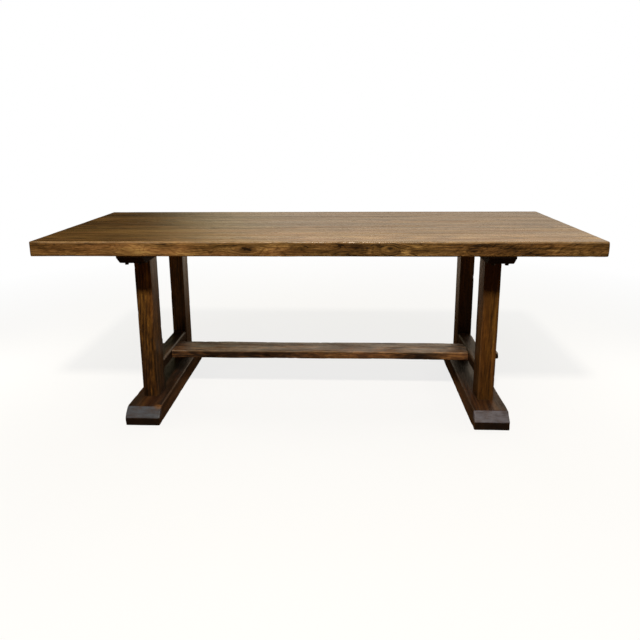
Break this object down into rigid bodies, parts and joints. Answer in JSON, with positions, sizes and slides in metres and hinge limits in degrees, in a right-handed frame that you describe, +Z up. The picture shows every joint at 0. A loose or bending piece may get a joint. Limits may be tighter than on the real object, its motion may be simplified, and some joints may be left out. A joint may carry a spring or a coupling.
{
  "type": "refectory table",
  "caption": "Long wooden refectory table: plank top on two trestles with sledge feet, joined by a flat stretcher with wedged through tenons.",
  "frame": {"origin": "middle of the footprint, on the floor", "axes": "+X along the top, +Y across the top towards the rear long edge, +Z up"},
  "size_m": [2.17, 0.912, 0.762],
  "materials": {
    "top_wood": "satin wax over dark stain",
    "base_wood": "satin wax over dark stain",
    "inner_wood": "bare wood",
    "screw_steel": "dull, dark"
  },
  "bodies": {
    "root": {"top_board_front": "top_wood", "top_board_narrow": "top_wood", "top_board_wide": "top_wood", "top_board_rear": "top_wood", "top_tongue_front": "inner_wood", "top_tongue_middle": "inner_wood", "top_tongue_rear": "inner_wood", "left_bearer": "base_wood", "right_bearer": "base_wood", "left_front_post": "base_wood", "left_rear_post": "base_wood", "right_front_post": "base_wood", "right_rear_post": "base_wood", "left_cross_rail": "base_wood", "right_cross_rail": "base_wood", "left_sledge_foot": "base_wood", "right_sledge_foot": "base_wood", "stretcher": "base_wood", "left_tusk_wedge": "base_wood", "right_tusk_wedge": "base_wood", "left_top_screws": "screw_steel", "right_top_screws": "screw_steel"}
  },
  "joints": []
}
